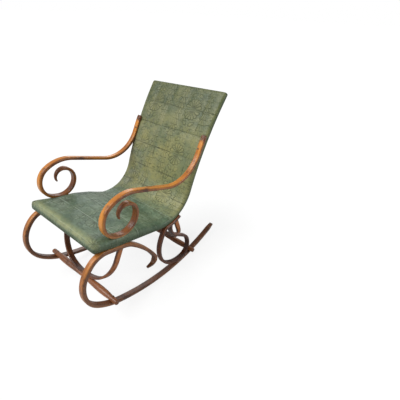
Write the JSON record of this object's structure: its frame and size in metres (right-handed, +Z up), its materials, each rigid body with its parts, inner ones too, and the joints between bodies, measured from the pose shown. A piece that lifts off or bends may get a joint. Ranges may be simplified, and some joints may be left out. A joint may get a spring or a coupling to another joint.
{
  "type": "rocking chair",
  "caption": "Bentwood rocking chair with scrolled arms and sides and a seat and back upholstered in one curve in dark green damask leatherette.",
  "frame": {"origin": "on the floor plane, under the middle of the bounding box, halfway between the two rockers", "axes": "+Z up, -Y the way the sitter faces, +X towards the sitter's left hand"},
  "size_m": [0.572, 0.9892, 0.9354],
  "materials": {
    "arm_wood": "gloss varnish",
    "base_wood": "worn gloss varnish",
    "scroll_wood": "gloss varnish",
    "hoop_wood": "gloss varnish",
    "stretcher_wood": "gloss varnish",
    "frame_wood": "raw",
    "webbing": "woven jute",
    "lining": "plain weave",
    "leatherette": "damask woven face with a soft sheen",
    "screw_metal": "dull plated",
    "tack_metal": "dull"
  },
  "bodies": {
    "root": {"arm_left": "arm_wood", "arm_right": "arm_wood", "side_base_left": "base_wood", "side_base_right": "base_wood", "rear_scroll_left": "scroll_wood", "rear_scroll_right": "scroll_wood", "front_hoop": "hoop_wood", "rear_hoop": "hoop_wood", "front_stretcher": "stretcher_wood", "rear_stretcher": "stretcher_wood", "side_rail_left": "frame_wood", "side_rail_right": "frame_wood", "front_cross_rail": "frame_wood", "bend_cross_rail": "frame_wood", "back_cross_rail": "frame_wood", "top_cross_rail": "frame_wood", "hoop_dowels": "frame_wood", "seat_webbing": "webbing", "back_webbing": "webbing", "underside_lining": "lining", "seat_and_back_upholstery": "leatherette", "arm_top_screws": "screw_metal", "arm_scroll_screws": "screw_metal", "base_screws": "screw_metal", "rear_scroll_screws": "screw_metal", "rocker_screws": "screw_metal", "stretcher_screws": "screw_metal", "hoop_screws": "screw_metal", "lining_tacks": "tack_metal"}
  },
  "joints": []
}
